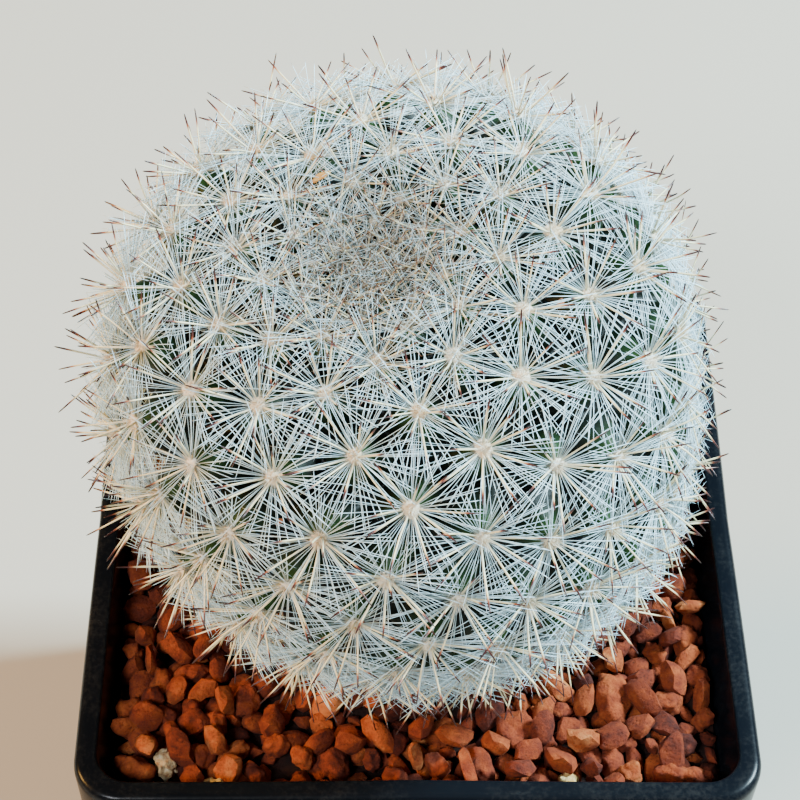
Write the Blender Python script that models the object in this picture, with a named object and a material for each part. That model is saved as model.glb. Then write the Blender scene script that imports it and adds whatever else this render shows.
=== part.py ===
"""Potted round cactus: a leaning, spiny globe in a square plastic pot topped with lava gravel.

Metres, +Z up. The origin is the centre of the pot's flat underside, on the surface it stands on.
The plant's own frame has its origin inside the globe and its Z along the leaning stem.
"""
import math
import random

import bmesh
import bpy
import numpy as np
from mathutils import Matrix, Vector

MM = 0.001
CLEARANCE = 0.3 * MM

# Square pot
POT_WIDTH = 90 * MM
POT_HEIGHT = 80 * MM
BASE_WIDTH = 64 * MM
RIM_FLANGE = 3.0 * MM
RIM_ROUND = 0.6 * MM
SKIRT_DEPTH = 9 * MM
SKIRT_THICKNESS = 1.0 * MM
WALL = 0.9 * MM
FLOOR = 1.5 * MM
RIM_EDGE = 0.25 * MM
RIM_CORNER = 6.5 * MM
RIM_INNER_CORNER = 4.5 * MM
BASE_CORNER = 4.5 * MM
BASE_ROUND = 0.6 * MM
DRAIN_RADIUS = 2.4 * MM
DRAIN_PITCH = 19 * MM

# Fill
MIX_TOP = 63 * MM
BED_TOP = 71.4 * MM
BED_LUMP = 0.55 * MM
BED_STEM_GAP = 3.6 * MM
ROOT_GAP = 2.8 * MM
ROOT_TIP_GAP = 6.5 * MM
STONE_SEAT = 72.4 * MM

# Plant
GLOBE_CENTRE = Vector((-0.7, -5.1, 109.9)) * MM
STEM_AXIS = Vector((-0.152, -0.175, 0.977)).normalized()
BREADTH = 1.02
FLAT_SIDE = 31 * MM
FLAT_SHARE = 0.68
# Radius and height of the surface that the areoles lie on, from the crown to the root's tip
HALF_PROFILE = (
    (0.0, 35.5), (6.9, 36.1), (14.8, 36.7), (29.2, 30.2), (34.7, 15.5), (35.4, 0.0),
    (30.9, -14.4), (23.9, -25.7), (19.6, -33.5), (16.0, -41.0), (9.0, -49.5), (0.0, -54.0),
)
GOLDEN_ANGLE = math.radians(137.508)
FIRST_AREOLE = math.radians(161.5)
AREOLE_CELL = 88.8 * MM * MM
CROWN_CELL_RATIO = 0.072
CROWN_WIDTH = 18.6 * MM
LOWEST_AREOLE = -34.5 * MM
VALLEY_DEPTH = 0.52
RIDGE_DEPTH = 0.36
SPINE_LENGTH = 7.2 * MM
CROWN_SPINE_LENGTH = 4.2 * MM
SPINE_BASE = 0.45 * MM
ROOT_LEVELS = (-38.0, -42.5, -46.5, -50.5)
ROOT_SIDES = 14
LEVEL_CUT_SPREAD = 1.05
LOWEST_SPINE_TIP = 80.0 * MM

# Large stones: middle x and y, length, width and turn in degrees, then height; millimetres
STONES = (
    (-38.4, -28.0, 4.2, 3.8, 20, 3.6), (-37.6, -37.0, 6.2, 4.0, -30, 4.0), (-37.0, -32.4, 3.6, 3.2, 0, 3.4),
    (-33.9, -29.4, 5.4, 3.4, 115, 3.8), (-33.3, -36.0, 4.3, 3.2, 75, 4.2), (-29.0, -35.4, 4.4, 4.0, 40, 4.3),
    (-30.6, -28.0, 3.2, 3.0, -20, 3.6), (-27.1, -30.4, 5.0, 3.2, 110, 3.8), (-24.4, -34.6, 5.8, 2.6, 42, 3.6),
    (-23.0, -26.6, 5.4, 3.6, 85, 4.4), (-30.6, -22.0, 5.4, 2.9, 15, 3.4), (-34.8, -23.5, 4.8, 3.0, 95, 3.6),
    (-34.2, -16.8, 4.2, 4.0, 0, 3.4), (-38.9, -18.6, 3.2, 2.8, 0, 3.2), (-21.4, -37.9, 4.2, 2.9, -60, 3.8),
    (-18.9, -33.4, 4.0, 3.4, 20, 3.9), (-15.2, -35.2, 3.6, 3.2, -20, 3.8), (-11.0, -36.3, 5.2, 3.8, 110, 4.2),
    (-15.6, -39.3, 3.2, 2.6, 0, 3.2), (-27.0, -39.4, 3.8, 2.2, 10, 3.0), (-6.3, -35.4, 3.6, 2.4, 100, 3.6),
    (-3.0, -38.3, 3.8, 3.0, -5, 3.9), (-2.6, -32.8, 4.2, 2.8, 70, 3.4), (13.2, -31.2, 6.2, 5.6, 60, 5.0),
    (8.2, -36.8, 6.4, 4.0, 100, 4.8), (26.6, -26.4, 8.8, 5.2, 95, 5.2), (33.8, -27.0, 5.6, 3.8, 20, 4.2),
    (35.2, -37.9, 9.8, 2.9, -8, 3.8), (35.7, -33.4, 4.2, 3.0, 10, 3.8), (38.6, -22.6, 4.0, 3.2, 0, 3.6),
    (37.4, -16.8, 5.6, 3.4, 80, 3.8), (33.2, -18.8, 4.4, 2.6, -50, 3.4), (28.2, -18.0, 4.8, 3.0, 70, 3.6),
    (19.7, -28.0, 3.0, 2.9, 0, 3.4), (17.6, -33.9, 4.4, 2.4, 95, 3.6), (22.6, -34.4, 5.0, 3.2, -40, 3.8),
    (28.4, -37.6, 3.6, 3.4, 30, 3.8), (27.9, -32.9, 4.0, 2.4, 10, 3.4), (38.8, -29.2, 3.9, 3.0, 60, 3.4),
    (13.4, -37.8, 4.2, 3.0, 40, 3.8), (2.6, -36.4, 4.6, 2.9, -50, 3.6), (20.0, -39.0, 3.4, 2.6, 80, 3.8),
    (38.8, -10.4, 3.6, 3.2, 80, 3.6), (34.6, -11.6, 3.8, 3.4, 0, 3.6), (38.4, -3.0, 4.6, 3.4, 60, 3.8),
    (37.6, 14.0, 5.0, 3.6, 100, 4.0), (30.5, 37.0, 4.8, 3.8, 10, 3.8), (4.0, 36.5, 5.4, 3.6, 20, 4.0),
    (-17.0, 38.0, 4.6, 3.4, -30, 3.6), (-36.5, 12.0, 5.2, 3.6, 80, 3.8), (-34.8, 34.8, 4.8, 3.6, 40, 3.6),
)
PALE_STONES = {4: (0.62, 0.50, 0.36), 19: (0.50, 0.26, 0.08), 41: (0.52, 0.24, 0.09)}
STONE_POINTS = 18


def clear_scene():
    """Removes whatever the open scene holds."""
    for item in list(bpy.data.objects):
        bpy.data.objects.remove(item, do_unlink=True)


def principled(name, colour, roughness):
    """A plain Principled material."""
    material = bpy.data.materials.new(name)
    material.use_nodes = True
    shader = material.node_tree.nodes["Principled BSDF"]
    shader.inputs["Base Color"].default_value = (*colour, 1.0)
    shader.inputs["Roughness"].default_value = roughness
    shader.inputs["Metallic"].default_value = 0.0
    material.diffuse_color = (*colour, 1.0)
    return material


def add_object(name, mesh, material, smooth_angle):
    """Links a mesh as a named object, shaded smooth below the given edge angle in degrees."""
    mesh.materials.append(material)
    mesh.shade_smooth()
    mesh.set_sharp_from_angle(angle=math.radians(smooth_angle))
    item = bpy.data.objects.new(name, mesh)
    bpy.context.scene.collection.objects.link(item)
    return item


def rounded_square(half, corner, height, corner_steps, side_steps):
    """Points anticlockwise round a square with round corners, the same count for every size."""
    points = []
    straight = half - corner
    for quarter in range(4):
        turn = Matrix.Rotation(quarter * math.pi / 2, 3, "Z")
        for step in range(side_steps):
            along = straight * (2 * step / side_steps - 1)
            points.append(turn @ Vector((half, along, height)))
        for step in range(corner_steps):
            angle = math.pi / 2 * step / corner_steps
            x = straight + corner * math.cos(angle)
            y = straight + corner * math.sin(angle)
            points.append(turn @ Vector((x, y, height)))
    return points


def loft(name, rings, closed):
    """Bridges rings of equal count; closed joins last to first, else both ends are filled flat."""
    shape = bmesh.new()
    loops = [[shape.verts.new(point) for point in ring] for ring in rings]
    pairs = list(zip(loops, loops[1:]))
    if closed:
        pairs.append((loops[-1], loops[0]))
    else:
        shape.faces.new(loops[0])
        shape.faces.new(loops[-1])
    count = len(loops[0])
    for lower, upper in pairs:
        for index in range(count):
            after = (index + 1) % count
            shape.faces.new((lower[index], lower[after], upper[after], upper[index]))
    bmesh.ops.recalc_face_normals(shape, faces=shape.faces)
    mesh = bpy.data.meshes.new(name)
    shape.to_mesh(mesh)
    shape.free()
    return mesh


def pot_inner_half(height):
    """Half the pot's inner width at a height: a straight taper from rim to floor."""
    top = POT_WIDTH / 2 - RIM_FLANGE
    bottom = BASE_WIDTH / 2 - WALL
    return bottom + (top - bottom) * height / POT_HEIGHT


def pot_inner_corner(height):
    """The inner corner radius at a height."""
    bottom = BASE_CORNER - WALL
    return bottom + (RIM_INNER_CORNER - bottom) * height / POT_HEIGHT


def build_pot():
    """Thin tapered wall with a folded-out rim: a flat flange with a skirt hanging from its edge."""
    half = POT_WIDTH / 2
    skirt_foot = POT_HEIGHT - SKIRT_DEPTH
    flange_under = POT_HEIGHT - WALL
    skirt_inside = half - SKIRT_THICKNESS
    wall_half = pot_inner_half(flange_under) + WALL
    wall_corner = pot_inner_corner(flange_under) + WALL
    bevel = RIM_ROUND * (1 - math.sqrt(0.5))
    stations = (
        (BASE_WIDTH / 2 - BASE_ROUND, BASE_CORNER - BASE_ROUND, 0.0),
        (BASE_WIDTH / 2, BASE_CORNER, BASE_ROUND),
        (wall_half, wall_corner, flange_under),
        (skirt_inside, RIM_CORNER - SKIRT_THICKNESS, flange_under),
        (skirt_inside, RIM_CORNER - SKIRT_THICKNESS, skirt_foot),
        (half - RIM_EDGE, RIM_CORNER - RIM_EDGE, skirt_foot),
        (half, RIM_CORNER, POT_HEIGHT - RIM_ROUND),
        (half - bevel, RIM_CORNER - bevel, POT_HEIGHT - bevel),
        (half - RIM_ROUND, RIM_CORNER - RIM_ROUND, POT_HEIGHT),
        (half - RIM_FLANGE + RIM_EDGE, RIM_INNER_CORNER + RIM_EDGE, POT_HEIGHT),
        (pot_inner_half(POT_HEIGHT), RIM_INNER_CORNER, POT_HEIGHT - RIM_EDGE),
        (pot_inner_half(FLOOR), pot_inner_corner(FLOOR), FLOOR),
    )
    rings = [rounded_square(*station, corner_steps=6, side_steps=1) for station in stations]
    pot = add_object("square_pot", loft("square_pot", rings, closed=False),
                     principled("pot plastic", (0.012, 0.013, 0.015), 0.45), 40)
    for column in (-1, 0, 1):
        for row in (-1, 0, 1):
            if column or row:
                drill_drain(pot, column * DRAIN_PITCH, row * DRAIN_PITCH)


def drill_drain(pot, x, y):
    """Cuts one round drain hole through the pot's floor."""
    shape = bmesh.new()
    bmesh.ops.create_cone(shape, cap_ends=True, segments=12, radius1=DRAIN_RADIUS,
                          radius2=DRAIN_RADIUS, depth=4 * FLOOR)
    mesh = bpy.data.meshes.new("drain_cutter")
    shape.to_mesh(mesh)
    shape.free()
    cutter = bpy.data.objects.new("drain_cutter", mesh)
    bpy.context.scene.collection.objects.link(cutter)
    cutter.location = (x, y, FLOOR / 2)
    cutter.hide_render = True
    cutter.display_type = "WIRE"
    cut = pot.modifiers.new("drain", "BOOLEAN")
    cut.operation = "DIFFERENCE"
    cut.solver = "EXACT"
    cut.object = cutter


def half_profile():
    """Radius and height along the plant's outline: a Catmull-Rom curve through its points."""
    points = np.array(HALF_PROFILE) * MM
    before = np.vstack([points[1] * (-1, 1), points[:-1]])
    after = np.vstack([points[1:], points[-2] * (-1, 1)])
    slopes = (after - before) / 2
    share = np.linspace(0, 1, 40, endpoint=False)[:, None]
    spans = []
    for index in range(len(points) - 1):
        start, end = points[index], points[index + 1]
        start_slope, end_slope = slopes[index], slopes[index + 1]
        spans.append(
            (2 * share**3 - 3 * share**2 + 1) * start + (share**3 - 2 * share**2 + share) * start_slope
            + (3 * share**2 - 2 * share**3) * end + (share**3 - share**2) * end_slope
        )
    curve = np.vstack(spans + [points[-1:]])
    return np.maximum(curve[:, 0], 0), curve[:, 1]


def stem_to_world(points):
    """Places points of the plant's own frame: broadened along X, leaned, then moved.

    The right side is flatter than the rest, so what lies past it is drawn in to a share.
    """
    lean = np.array(Vector((0, 0, 1)).rotation_difference(STEM_AXIS).to_matrix())
    placed = (points @ lean.T) * (BREADTH, 1, 1) + np.array(GLOBE_CENTRE)
    placed[:, 0] -= (1 - FLAT_SHARE) * np.maximum(placed[:, 0] - FLAT_SIDE, 0)
    return placed


def areole_lattice():
    """Areole positions and outward directions in the plant's frame, in a golden-angle spiral.

    Each areole has a cell of the same area on the flank and a smaller one towards the crown.
    """
    radius, height = half_profile()
    steps = np.hypot(np.diff(radius), np.diff(height))
    along = np.cumsum(steps) - steps / 2
    cell = AREOLE_CELL * (1 - (1 - CROWN_CELL_RATIO) * np.exp(-(along / CROWN_WIDTH) ** 2))
    band = math.pi * (radius[1:] + radius[:-1]) * steps
    count = np.concatenate([[0], np.cumsum(band / cell)])
    lowest = np.argmax(height < LOWEST_AREOLE)
    index = np.arange(int(count[lowest]))
    ring, level = np.interp(index + 0.5, count, radius), np.interp(index + 0.5, count, height)
    slope_r = np.interp(index + 0.5, count, np.gradient(radius))
    slope_z = np.interp(index + 0.5, count, np.gradient(height))
    angle = FIRST_AREOLE - GOLDEN_ANGLE * index
    length = np.hypot(slope_r, slope_z)
    out, up = -slope_z / length, slope_r / length
    places = np.stack([ring * np.cos(angle), ring * np.sin(angle), level], axis=1)
    normals = np.stack([out * np.cos(angle), out * np.sin(angle), up], axis=1)
    return places, normals


def root_rings():
    """Plain points of the stem's base and root, below the last areoles."""
    radius, height = half_profile()
    points = []
    for number, level in enumerate(ROOT_LEVELS):
        ring = np.interp(-level * MM, -height, radius)
        for step in range(ROOT_SIDES):
            angle = 2 * math.pi * (step + number / 2) / ROOT_SIDES
            points.append((ring * math.cos(angle), ring * math.sin(angle), level * MM))
    points.append((0, 0, HALF_PROFILE[-1][1] * MM))
    return np.array(points)


def sphere_triangles(places):
    """Joins points into triangles by the convex hull of their directions from the globe's centre."""
    shape = bmesh.new()
    for place in places:
        shape.verts.new(Vector(place).normalized())
    shape.verts.index_update()
    bmesh.ops.convex_hull(shape, input=shape.verts)
    triangles = []
    for face in shape.faces:
        corners = list(face.verts)
        if face.normal.dot(corners[0].co) < 0:
            corners.reverse()
        triangles.append([corner.index for corner in corners])
    shape.free()
    return triangles


def surface_point(direction, depth):
    """The point under the areole surface in a direction from the globe's centre."""
    radius, height = half_profile()
    falls = np.arctan2(radius, height)
    reach = np.interp(math.acos(max(-1, min(1, direction.z))), falls, np.hypot(radius, height))
    return direction * (reach - depth)


def build_cactus():
    """One solid: a conical tubercle under every areole, each ending in its central spine."""
    places, normals = areole_lattice()
    spiny = len(places)
    places = np.vstack([places, root_rings()])
    shape = bmesh.new()
    middles, rims, tips = {}, {}, {}

    def middle(first, second):
        """The low point between two neighbours, a valley where both are areoles."""
        key = (min(first, second), max(first, second))
        if key not in middles:
            a, b = Vector(places[key[0]]), Vector(places[key[1]])
            share = ((key[0] < spiny) + (key[1] < spiny)) / 2
            depth = RIDGE_DEPTH * (a - b).length * share
            middles[key] = shape.verts.new(surface_point((a + b).normalized(), depth))
        return middles[key]

    def rim(centre, towards):
        """The vertex of an areole's small rim that faces one neighbour."""
        if centre >= spiny:
            towards = centre
        if (centre, towards) not in rims:
            point = Vector(places[centre])
            if centre < spiny:
                step = middle(centre, towards).co - point
                point += step.normalized() * SPINE_BASE
            rims[centre, towards] = shape.verts.new(point)
        return rims[centre, towards]

    def tip(areole):
        """The sharp end of an areole's central spine."""
        if areole not in tips:
            tips[areole] = shape.verts.new(spine_tip(places[areole], normals[areole]))
        return tips[areole]

    for triangle in sphere_triangles(places):
        corners = [Vector(places[index]) for index in triangle]
        share = sum(index < spiny for index in triangle) / 3
        spread = sum((corners[i] - corners[i - 1]).length for i in range(3)) / 3
        valley = shape.verts.new(
            surface_point(sum(corners, Vector()).normalized(), VALLEY_DEPTH * spread * share))
        loop = []
        for index in range(3):
            here, after, before = triangle[index], triangle[(index + 1) % 3], triangle[index - 1]
            loop += [rim(here, before), rim(here, after), middle(here, after)]
            if here < spiny:
                shape.faces.new((rim(here, before), rim(here, after), tip(here)))
        for one, two in zip(loop, loop[1:] + loop[:1]):
            if one is not two:
                shape.faces.new((one, two, valley))
    lean_and_place(shape)
    bmesh.ops.recalc_face_normals(shape, faces=shape.faces)
    mesh = bpy.data.meshes.new("cactus")
    shape.to_mesh(mesh)
    shape.free()
    add_object("cactus", mesh, principled("cactus skin and spines", (0.44, 0.48, 0.38), 0.7), 25)


def spine_tip(place, normal):
    """Where a central spine ends, short at the crown and kept above the gravel below."""
    crown = math.exp(-(math.hypot(place[0], place[1]) / CROWN_WIDTH) ** 2)
    length = SPINE_LENGTH + (CROWN_SPINE_LENGTH - SPINE_LENGTH) * crown
    foot, far = stem_to_world(np.array([place, place + normal * length]))
    if far[2] < LOWEST_SPINE_TIP:
        drop = max(foot[2] - far[2], 1e-9)
        length *= min(1.0, max(0.15, (foot[2] - LOWEST_SPINE_TIP) / drop))
    return place + normal * length


def lean_and_place(shape):
    """Moves the finished plant from its own frame into the pot's."""
    placed = stem_to_world(np.array([vertex.co for vertex in shape.verts]))
    for vertex, point in zip(shape.verts, placed):
        vertex.co = point


def stem_ring(height, outline, gap):
    """A level ring round the leaning stem, with a point facing each point of an outline.

    A level cut through a leaning round stem is an ellipse, so the radius is spread a little.
    """
    radius, profile_height = half_profile()
    along = (height - GLOBE_CENTRE.z) / STEM_AXIS.z
    centre = GLOBE_CENTRE + STEM_AXIS * along
    stem = np.interp(-along, -profile_height[1:], radius[1:])
    ring = stem * LEVEL_CUT_SPREAD + gap
    points = []
    for point in outline:
        angle = math.atan2(point.y - centre.y, point.x - centre.x)
        x = centre.x + ring * math.cos(angle) * BREADTH
        points.append(Vector((x, centre.y + ring * math.sin(angle), height)))
    return points


def fill_ring(height):
    """The outline of the pot's contents at a height, just clear of the wall."""
    half = pot_inner_half(height) - CLEARANCE
    return rounded_square(half, pot_inner_corner(height), height, corner_steps=4, side_steps=8)


def build_mix():
    """Potting mix filling the pot's lower part, hollowed where the root sits."""
    outline = fill_ring(MIX_TOP)
    hollow_floor = (GLOBE_CENTRE + STEM_AXIS * HALF_PROFILE[-1][1] * MM).z - 1.5 * MM
    rings = [fill_ring(FLOOR + CLEARANCE), outline]
    for height in (MIX_TOP, hollow_floor + 4.5 * MM):
        rings.append(stem_ring(height, outline, ROOT_GAP))
    rings.append(stem_ring(hollow_floor, outline, ROOT_TIP_GAP))
    add_object("potting_mix", loft("potting_mix", rings, closed=False),
               principled("potting mix", (0.045, 0.028, 0.018), 0.95), 30)


def build_gravel_bed():
    """The packed lower gravel: a lumpy-topped layer round the stem."""
    low, high = MIX_TOP + CLEARANCE, BED_TOP
    outer = fill_ring(high)
    inner = stem_ring(high, outer, BED_STEM_GAP)
    rings = [fill_ring(low), outer]
    dice = random.Random(11)
    for share in (0.14, 0.32, 0.5, 0.68, 0.86):
        ring = [a.lerp(b, share) for a, b in zip(outer, inner)]
        for point in ring:
            point.z += dice.uniform(-BED_LUMP, BED_LUMP)
        rings.append(ring)
    rings += [inner, stem_ring(low, outer, BED_STEM_GAP)]
    add_object("gravel_bed", loft("gravel_bed", rings, closed=True),
               principled("lava gravel", (0.30, 0.085, 0.035), 0.9), 20)


def build_stone(number, spec):
    """A broken lump: the convex hull of seeded points on an ellipsoid, its underside flattened."""
    x, y, length, width, turn, height = spec
    dice = random.Random(100 + number)
    shape = bmesh.new()
    for step in range(STONE_POINTS):
        level = 1 - 2 * (step + 0.5) / STONE_POINTS
        around = step * GOLDEN_ANGLE + dice.uniform(-0.35, 0.35)
        level = max(-0.82, min(0.95, level + dice.uniform(-0.12, 0.12)))
        ring = math.sqrt(1 - level * level) ** 0.75
        shape.verts.new((length / 2 * ring * math.cos(around) * MM,
                         width / 2 * ring * math.sin(around) * MM,
                         height / 2 * level * MM))
    hull = bmesh.ops.convex_hull(shape, input=shape.verts)
    bmesh.ops.delete(shape, geom=hull["geom_interior"], context="VERTS")
    bmesh.ops.rotate(shape, verts=shape.verts, cent=(0, 0, 0),
                     matrix=Matrix.Rotation(math.radians(turn), 3, "Z"))
    lowest = min(vertex.co.z for vertex in shape.verts)
    bmesh.ops.translate(shape, verts=shape.verts, vec=(x * MM, y * MM, STONE_SEAT - lowest))
    name = f"stone_{number + 1:02d}"
    mesh = bpy.data.meshes.new(name)
    shape.to_mesh(mesh)
    shape.free()
    colour = PALE_STONES.get(number, (0.36 + dice.uniform(-0.06, 0.06), 0.105, 0.045))
    add_object(name, mesh, principled(name, colour, 0.9), 10)


def main():
    clear_scene()
    build_pot()
    build_mix()
    build_gravel_bed()
    build_cactus()
    for number, spec in enumerate(STONES):
        build_stone(number, spec)


main()
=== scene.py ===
import math

import bmesh
import bpy
import numpy as np
from mathutils import Matrix, Vector


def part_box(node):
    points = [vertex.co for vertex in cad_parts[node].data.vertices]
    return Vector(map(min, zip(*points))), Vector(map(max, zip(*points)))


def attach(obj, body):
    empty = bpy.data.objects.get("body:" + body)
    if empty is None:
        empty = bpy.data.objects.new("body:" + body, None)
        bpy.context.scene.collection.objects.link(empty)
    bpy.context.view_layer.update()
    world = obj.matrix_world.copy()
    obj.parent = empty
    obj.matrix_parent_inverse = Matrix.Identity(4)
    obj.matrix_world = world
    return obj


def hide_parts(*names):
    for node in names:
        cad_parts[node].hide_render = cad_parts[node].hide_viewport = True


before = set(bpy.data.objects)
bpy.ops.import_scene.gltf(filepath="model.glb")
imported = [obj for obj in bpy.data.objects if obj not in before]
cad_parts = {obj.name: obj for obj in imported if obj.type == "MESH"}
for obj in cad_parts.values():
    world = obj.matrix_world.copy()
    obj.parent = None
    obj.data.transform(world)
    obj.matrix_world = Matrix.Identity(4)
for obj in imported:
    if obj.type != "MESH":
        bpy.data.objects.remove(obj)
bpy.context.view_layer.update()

# ----------------------------------------------------------
# Camera, lights and floor. A long lens looks steeply down at the globe from the front. A cool
# softbox stands high on the right, a warm one lower on the left and a weak one in front.
# ----------------------------------------------------------
MM = 0.001
CAMERA_PLACE = Vector((-7.55, -178.29, 328.61)) * MM
CAMERA_LENS = 97.18
CAMERA_HEADING, CAMERA_TILT, CAMERA_ROLL = -1.610, 38.751, 1.457

camera = bpy.data.objects.new("camera", bpy.data.cameras.new("camera"))
camera.data.lens = CAMERA_LENS
camera.data.sensor_width = 36.0
camera.data.clip_start = 0.01
camera.matrix_world = (
    Matrix.Translation(CAMERA_PLACE)
    @ Matrix.Rotation(math.radians(CAMERA_HEADING), 4, "Z")
    @ Matrix.Rotation(math.radians(CAMERA_TILT), 4, "X")
    @ Matrix.Rotation(math.radians(CAMERA_ROLL), 4, "Z")
)
bpy.context.scene.collection.objects.link(camera)
bpy.context.scene.camera = camera


def add_softbox(name, place, width, power, colour):
    """A square area light at a place in metres, turned to face the globe."""
    light = bpy.data.lights.new(name, "AREA")
    light.shape = "SQUARE"
    light.size = width
    light.energy = power
    light.color = colour
    item = bpy.data.objects.new(name, light)
    item.location = place
    facing = Vector((0.0, 0.0, 0.1)) - Vector(place)
    item.rotation_euler = facing.to_track_quat("-Z", "Y").to_euler()
    bpy.context.scene.collection.objects.link(item)


add_softbox("window_softbox", (0.84, 0.20, 0.92), 0.22, 84.0, (0.64, 0.89, 1.0))
add_softbox("left_softbox", (-0.95, 0.00, 0.60), 0.24, 21.0, (1.0, 0.54, 0.14))
add_softbox("front_softbox", (-0.40, -0.66, 0.95), 0.24, 14.0, (0.90, 0.95, 1.0))

world = bpy.data.worlds.new("studio")
world.use_nodes = True
world.node_tree.nodes["Background"].inputs["Color"].default_value = (0.86, 0.93, 1.0, 1.0)
world.node_tree.nodes["Background"].inputs["Strength"].default_value = 0.075
bpy.context.scene.world = world


def new_material(name, colour, roughness, specular=0.5):
    """A Principled material with a plain colour, roughness and specular, its tree and shader."""
    material = bpy.data.materials.new(name)
    material.use_nodes = True
    shader = material.node_tree.nodes["Principled BSDF"]
    shader.inputs["Base Color"].default_value = (*colour, 1.0)
    shader.inputs["Roughness"].default_value = roughness
    shader.inputs["Specular IOR Level"].default_value = specular
    return material, material.node_tree, shader


def add_node(tree, kind, **values):
    """A node of a kind, with its sockets or properties set by name, spaces written as _."""
    item = tree.nodes.new("ShaderNode" + kind)
    for name, value in values.items():
        socket = item.inputs.get(name.replace("_", " "))
        if socket is None:
            setattr(item, name, value)
        elif isinstance(value, bpy.types.NodeSocket):
            tree.links.new(value, socket)
        else:
            socket.default_value = value
    return item


def add_bump(tree, shader, height, strength, distance):
    """A bump of a real depth in metres on a shader's normal."""
    bump = add_node(tree, "Bump", Height=height, Strength=strength, Distance=distance)
    tree.links.new(bump.outputs["Normal"], shader.inputs["Normal"])


def add_surface(name, points, face_sets, material):
    """A piece at the origin from an array of points and arrays of faces, each of one corner count."""
    corners = np.concatenate([faces.ravel() for faces in face_sets])
    counts = np.concatenate([np.full(len(faces), faces.shape[1]) for faces in face_sets])
    starts = np.concatenate([[0], np.cumsum(counts)[:-1]])
    mesh = bpy.data.meshes.new(name)
    mesh.vertices.add(len(points))
    mesh.vertices.foreach_set("co", np.asarray(points, dtype=np.float32).ravel())
    mesh.loops.add(len(corners))
    mesh.loops.foreach_set("vertex_index", corners.astype(np.int32))
    mesh.polygons.add(len(counts))
    mesh.polygons.foreach_set("loop_start", starts.astype(np.int32))
    mesh.update(calc_edges=True)
    mesh.materials.append(material)
    mesh.shade_smooth()
    item = bpy.data.objects.new(name, mesh)
    bpy.context.scene.collection.objects.link(item)
    return item


floor_material, floor_tree, floor_shader = new_material("pale_floor", (0.40, 0.36, 0.30), 0.75)
floor_speck = add_node(floor_tree, "TexNoise", Scale=240.0, Detail=3.0)
add_bump(floor_tree, floor_shader, floor_speck.outputs["Fac"], 0.15, 0.0003)
FLOOR_REACH = 3.0
floor_corners = np.array([(-1, -1, 0), (1, -1, 0), (1, 1, 0), (-1, 1, 0)]) * FLOOR_REACH
floor = add_surface("studio_floor", floor_corners, [np.array([[0, 1, 2, 3]])], floor_material)

# ----------------------------------------------------------
# Square nursery pot: thin black polypropylene, moulded in one shot. The wall tapers to the floor,
# and the rim folds out into a flat flange with a skirt hanging from its edge.
# ----------------------------------------------------------
pot_low, pot_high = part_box("square_pot")
RIM = pot_high.z
POT_HALF = (pot_high.x - pot_low.x) / 2
POT_BASE_HALF = 32.0 * MM
POT_FLANGE = 3.0 * MM
POT_SKIRT = 9.0 * MM
POT_SKIRT_THICKNESS = 1.0 * MM
POT_WALL = 0.9 * MM
POT_FLOOR = 1.5 * MM
POT_RIM_CORNER = 6.5 * MM
POT_INNER_CORNER = 4.5 * MM
POT_BASE_CORNER = 4.5 * MM
POT_HUB = 2.0 * MM
POT_HUB_CORNER = 1.9 * MM
SKIRT_DRAFT = 0.25 * MM
SIDE_BOW = 0.35 * MM
EDGE_TRIMS = np.array([0.8, 0.35, 0.3, 0.2, 0.25, 1.5, 0.6, 1.0]) * MM
DRAIN_RADIUS = 2.4 * MM
DRAIN_PITCH = 19 * MM
DRAIN_SIDES = 24
BLACK_PLASTIC = (0.003, 0.004, 0.006)


def square_loop(arc_steps, side_steps):
    """Two arrays of unit directions round a square: to the corner centre, then from it to the edge.

    A point of a rounded square is (half - corner) times the first plus corner times the second.
    """
    along = np.linspace(-1, 1, side_steps, endpoint=False)
    angle = np.linspace(0, math.pi / 2, arc_steps, endpoint=False)
    centre = np.vstack([
        np.stack([np.ones(side_steps), along], axis=1),
        np.ones((arc_steps, 2)),
    ])
    edge = np.vstack([
        np.tile((1.0, 0.0), (side_steps, 1)),
        np.stack([np.cos(angle), np.sin(angle)], axis=1),
    ])
    quarters = [np.array(((c, -s), (s, c))) for c, s in ((1, 0), (0, 1), (-1, 0), (0, -1))]
    centres = np.vstack([centre @ turn.T for turn in quarters])
    return centres, np.vstack([edge @ turn.T for turn in quarters])


def ease_corners(points, trims, steps):
    """Rounds a polyline: each inner point becomes a quadratic arc that starts a trim away from it."""
    t = np.linspace(0, 1, steps)[:, None]
    path = [points[:1]]
    for before, corner, after, trim in zip(points, points[1:], points[2:], trims):
        start = corner + (before - corner) * min(0.49, trim / np.linalg.norm(before - corner))
        end = corner + (after - corner) * min(0.49, trim / np.linalg.norm(after - corner))
        path.append((1 - t) ** 2 * start + 2 * t * (1 - t) * corner + t**2 * end)
    path.append(points[-1:])
    return np.vstack(path)


def ring_faces(rings, count, flip=False):
    """Four-sided faces between rings of equal count, each ring closed on itself."""
    index = np.arange(rings * count).reshape(rings, count)
    low, high = index[:-1], index[1:]
    faces = np.stack([low, np.roll(low, -1, 1), np.roll(high, -1, 1), high], axis=-1)
    faces = faces.reshape(-1, 4)
    return faces[:, ::-1] if flip else faces


def pot_inner_half(height):
    """Half the pot's inner width at a height: a straight taper from rim to floor."""
    share = height / RIM
    return POT_BASE_HALF - POT_WALL + (POT_HALF - POT_FLANGE - POT_BASE_HALF + POT_WALL) * share


def pot_inner_corner(height):
    """The inner corner radius at a height."""
    bottom = POT_BASE_CORNER - POT_WALL
    return bottom + (POT_INNER_CORNER - bottom) * height / RIM


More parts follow.
